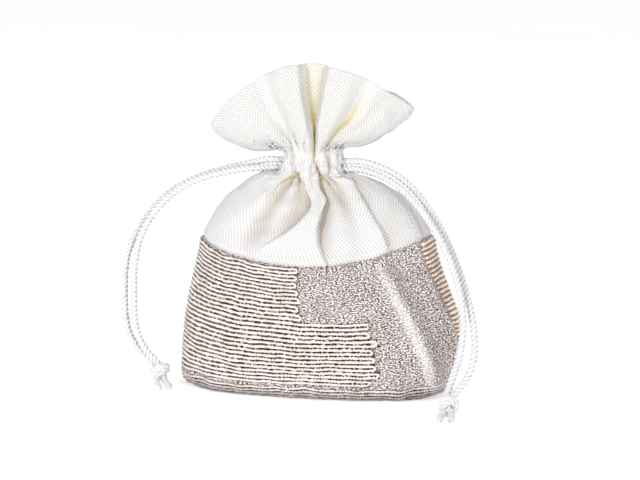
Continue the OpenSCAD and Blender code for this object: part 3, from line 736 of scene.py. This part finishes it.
def route(points, step):
    """Evenly spaced points along a smooth curve through the given ones."""
    points = np.array(points, float)
    along = run_length(points)
    fine = spline(along, points, np.linspace(0, along[-1], 800))
    length = run_length(fine)
    at = np.linspace(0, length[-1], max(4, round(length[-1] / step)))
    return np.stack([np.interp(at, length, fine[:, k]) for k in range(3)], -1)


def frames(line):
    """Two directions across a line at each of its points, which don't twist along it."""
    way = np.gradient(line, axis=0)
    way /= np.linalg.norm(way, axis=1, keepdims=True)
    x = np.cross(way[0], [0.3, 0.2, 1.0])
    xs = []
    for w in way:
        x = x - w * (x @ w)
        x = x / np.linalg.norm(x)
        xs.append(x)
    xs = np.array(xs)
    return xs, np.cross(way, xs)


def ring_round(line, reach, phi):
    """Points round a line, at a distance and an angle each."""
    xs, ys = frames(line)
    c, s = np.cos(phi)[..., None], np.sin(phi)[..., None]
    return line[:, None] + reach * (c * xs[:, None] + s * ys[:, None])


def laid_rope(line, d, seed, tip=(False, False)):
    """The skin of a three-ply laid cord along a line: its points, fibre coordinates and marks."""
    rng = np.random.default_rng(seed)
    gone = run_length(line)
    phi = np.linspace(0, 2 * math.pi, ROPE_SIDES, endpoint=False)[None]
    twist = (2 * math.pi * TURNS_PER_MM * gone + rng.uniform(0, 6))[:, None]
    ply = ((phi - twist) * 3) % (2 * math.pi) - math.pi
    off, ply_r = 0.25 * d, 0.265 * d
    reach = off * np.cos(ply / 3) + np.sqrt(np.maximum(ply_r**2 - (off * np.sin(ply / 3)) ** 2, 0))
    # How far into the groove between two plies: it sinks the skin a little, and the cord's colour paints
    # shade there.
    groove_and_painted_shade = np.clip((np.abs(ply) / math.pi) ** 3, 0, 1)
    reach = reach * (1 - 0.06 * groove_and_painted_shade) + 0.015 * d * waves(phi * 3, gone[:, None] * 2, seed, 3)
    for end, at in ((tip[0], gone), (tip[1], gone[-1] - gone)):
        reach *= np.sqrt(np.clip(at / (0.5 * d), 0.02, 1))[:, None] if end else 1
    points = ring_round(line, reach[..., None], phi)
    fibres = np.stack([ply * 0.8 + 0 * gone[:, None], gone[:, None] * 0.12 + 0 * phi, 0 * ply], -1)
    melted = np.clip(1 - (gone[-1] - gone) / 0.9, 0, 1)[:, None] * (1.0 if tip[1] else 0.0) + 0 * phi
    return points, fibres, {"groove_and_painted_shade": groove_and_painted_shade + 0 * phi, "tip": melted}


def cord(name, points, side, nodes, seed):
    """One strand of a drawstring, from inside the casing to its knot."""
    line = route(points, 0.36)
    skin, fibres, marks = laid_rope(line, CORD_D, seed=seed)
    piece = grid_object(name, skin, fibres, marks, close=True)
    piece.data.materials.append(SATIN)
    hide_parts(*nodes)
    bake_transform(piece)
    return piece, line


def knot(name, entry, exits, centre, axis, side, seed):
    """An overhand knot of the two strands, with its wraps, and the two cut tails."""
    axis = np.array(axis, float) / np.linalg.norm(axis)
    across = np.cross(axis, [0, 0, 1.0])
    across /= np.linalg.norm(across)
    other = np.cross(axis, across)
    pieces = []
    for k, (start, end) in enumerate(zip(entry, exits)):
        f = np.linspace(0, 1, 40)
        turn = 2 * math.pi * (2.05 * f + 0.5 * k)
        radius = 2.15 * np.sin(np.pi * np.clip(f * 1.02, 0, 1)) ** 0.35 + 0.1
        drift = (f - 0.5) * 4.2 + 0.7 * np.sin(2 * math.pi * f + k)
        wrap = (np.array(centre) + drift[:, None] * axis
                + radius[:, None] * (np.cos(turn)[:, None] * across + np.sin(turn)[:, None] * other))
        wrap[:, 2] = np.maximum(wrap[:, 2], 1.15)
        line = route(np.concatenate([[start], wrap[3:-3:3], np.array(end)]), 0.34)
        skin, fibres, marks = laid_rope(line, CORD_D * 0.96, seed=seed + k, tip=(False, True))
        skin[..., 2] = np.maximum(skin[..., 2], 0.05)
        piece = grid_object(f"{name}_{'ab'[k]}", skin, fibres, marks, close=True)
        finish_piece(piece, SATIN, f"{side}_loop", [f"{side}_knot", f"{side}_cord_tails"])
        pieces.append(piece)
    return pieces


def drawstring(side, upper, lower, tails, centre, axis, seed):
    """A drawstring's two strands, its knot and its tails."""
    ties = knot(f"{side}_knot_and_tail", (upper[-1], lower[-1]), tails, centre, axis, side, seed + 5)
    for k, (level, points) in enumerate((("upper", upper), ("lower", lower))):
        nodes = [f"{side}_cord_{level}_strand", f"{side}_cord_vent_run"]
        piece, line = cord(f"{side}_{level}_cord", points, side, nodes, seed + k)


def casing_runs(side):
    """The two cords inside the casing, drawn in by the gathers."""
    name = "front" if side == FRONT else "back"
    levels = (UPPER_Z, LOWER_Z) if side == FRONT else (LOWER_Z, UPPER_Z)
    for k, (owner, z) in enumerate(zip(("left", "right"), levels)):
        a = np.radians(np.linspace(24, 156, 30))
        line = np.stack([4.6 * np.cos(a) + 0.1, side * 3.4 * np.sin(a), z + 0 * a], -1)
        skin, fibres, marks = laid_rope(route(line, 0.4), CORD_D * 0.9, seed=60 + k)
        piece = grid_object(f"{owner}_cord_in_{name}_casing", skin, fibres, marks, close=True)
        finish_piece(piece, SATIN, f"mouth_{name}", [f"{owner}_cord_{name}_run"])


def tubes(name, lines, d, sides=6):
    """Several thin round threads as one mesh."""
    verts, faces, start = [], [], 0
    phi = np.linspace(0, 2 * math.pi, sides, endpoint=False)[None]
    for line in lines:
        verts.append(ring_round(line, d / 2, phi).reshape(-1, 3))
        for i in range(len(line) - 1):
            for j in range(sides):
                a, b = start + i * sides + j, start + i * sides + (j + 1) % sides
                faces.append((a, b, b + sides, a + sides))
        faces.append(tuple(start + j for j in reversed(range(sides))))
        faces.append(tuple(start + (len(line) - 1) * sides + j for j in range(sides)))
        start += len(line) * sides
    mesh = bpy.data.meshes.new(name)
    mesh.from_pydata((np.concatenate(verts) * MM).tolist(), [], faces)
    for polygon in mesh.polygons:
        polygon.use_smooth = True
    piece = bpy.data.objects.new(name, mesh)
    bpy.context.scene.collection.objects.link(piece)
    return piece


def casing_stitches(side):
    """Two rows of running stitch, one along each edge of the casing."""
    name = "front" if side == FRONT else "back"
    first, last, step, long = 8, 590, 12, 8  # columns
    lines = []
    for t in CASING_T:
        points, _, _ = panel_grid(side, np.array([t - 0.2, t, t + 0.2]), STITCH_COLUMNS)
        n = normals(points, 1 if side == FRONT else -1)[1]
        row = points[1] + n * 0.05
        for k in range(first, last, step):
            stitch = row[k:k + long]
            lift = np.sin(np.linspace(0, math.pi, len(stitch)))[:, None] * 0.22
            lines.append(stitch + n[k:k + long] * (lift - 0.05))
    piece = tubes(f"{name}_casing_stitching", lines, STITCH_D)
    finish_piece(piece, THREAD, f"mouth_{name}", [f"{name}_casing_stitches"])


def loose_threads():
    """Thread ends that stand out of the seam at the frill's right end."""
    rng = np.random.default_rng(17)
    lines = []
    for k in range(9):
        base = np.array([32.0, rng.uniform(-1.2, 0.8), 83.0 + 0.75 * k])
        f = np.linspace(0, 1, 16)[:, None]
        curl = rng.uniform(0, 6)
        way = np.array([rng.uniform(-2.6, 1.6), rng.uniform(-2.2, -0.4), rng.uniform(-1.8, 1.8)])
        g = f[:, 0]
        wiggle = np.stack([np.sin(g * 7 + curl), 0.6 * np.cos(g * 6 + curl), np.cos(g * 8 + curl)], -1)
        lines.append(base + f * way + 0.6 * f * wiggle)
    piece = tubes("right_frill_loose_threads", lines, FRAYED_D)
    finish_piece(piece, THREAD, "pouch", ())


def inner_strip(name, side, ts, span, depth, made):
    """A seam allowance inside the bag, a strip of cloth that follows the skin at a depth."""
    points, flat, _ = panel_grid(side, ts, ALLOWANCE_COLUMNS)
    n = normals(points, 1 if side == FRONT else -1)
    low, high = (round(end * (ALLOWANCE_COLUMNS - 1)) for end in span)
    strip = (points - n * depth)[:, low:high]
    marks = {label: np.zeros(strip.shape[:2]) for label in ("painted_fold_shade", "rib", "patch", "tan")}
    piece = grid_object(f"{name}_strip", strip, flat[:, low:high], marks)
    finish_piece(piece, made, "pouch", [name])


for side in (FRONT, BACK):
    lower_panel(side)
    upper_panel(side)
    casing_stitches(side)
    casing_runs(side)
for side in (LEFT, RIGHT):
    side_tuck(side)
for side, name in ((FRONT, "front"), (BACK, "back")):
    ts = np.linspace(57, 62.6, 14)
    inner_strip(f"{name}_yoke_allowance", side, ts, (0.14, 0.86), 1.7, SHEER)
for name, ts, span, depth in (
    ("right_seam_allowance", np.linspace(24, 60, 50), (0.93, 0.99), 1.5),
    ("left_seam_allowance", np.linspace(24, 60, 50), (0.01, 0.07), 1.5),
    ("bottom_seam_allowance", np.linspace(1, 7, 12), (0.2, 0.8), 0.9),
):
    inner_strip(name, BACK, ts, span, depth, JACQUARD)
drawstring("left", LEFT_UPPER, LEFT_LOWER, LEFT_TAILS, (-46.6, -10.6, 5.4), (0.6, -0.5, -1.0), 101)
drawstring("right", RIGHT_UPPER, RIGHT_LOWER, RIGHT_TAILS, (46.9, -30.7, 3.5), (0.05, -1.0, -0.25), 201)
loose_threads()


# ---------------------------------------------------------------- floor, light and camera

def stage():
    bpy.ops.mesh.primitive_plane_add(size=12)
    floor = bpy.context.object
    floor.name = "floor"
    floor.data.materials.append(floor_material())
    world = bpy.data.worlds.new("soft_white_room")
    bpy.context.scene.world = world
    world.use_nodes = True
    world.node_tree.nodes["Background"].inputs[0].default_value = (1.0, 1.0, 1.0, 1)
    world.node_tree.nodes["Background"].inputs[1].default_value = 0.56

    def soft_box(name, place, aim, width, watts):
        light = bpy.data.lights.new(name, "AREA")
        light.shape, light.size, light.energy = "DISK", width, watts
        lamp = bpy.data.objects.new(name, light)
        bpy.context.scene.collection.objects.link(lamp)
        lamp.location = place
        lamp.rotation_euler = (Vector(aim) - Vector(place)).to_track_quat("-Z", "Y").to_euler()

    soft_box("key", (-0.5, -0.95, 0.5), (0, 0, 0.045), 0.2, 6.3)
    soft_box("fill", (0.7, -0.9, 0.3), (0, 0, 0.04), 0.4, 4.3)
    soft_box("overhead", (0.1, 0.35, 1.1), (0, 0, 0.03), 0.6, 3.0)
    bpy.context.scene.view_settings.view_transform = "Standard"
    bpy.context.scene.view_settings.look = "None"


def camera():
    """The photograph's view: a little from the right and a little from above, with a long lens."""
    turn, rise, away = math.radians(12), math.radians(9), 0.62
    target = Vector((0.0020, 0.0, 0.0465))
    back = Vector((math.sin(turn) * math.cos(rise), -math.cos(turn) * math.cos(rise), math.sin(rise)))
    made = bpy.data.cameras.new("camera")
    made.lens, made.sensor_width = 113.0, 36.0
    made.clip_start, made.clip_end = 0.01, 50
    seen = bpy.data.objects.new("camera", made)
    bpy.context.scene.collection.objects.link(seen)
    seen.location = target + back * away
    seen.rotation_euler = (-back).to_track_quat("-Z", "Y").to_euler()
    bpy.context.scene.camera = seen


stage()
camera()
bpy.context.view_layer.update()
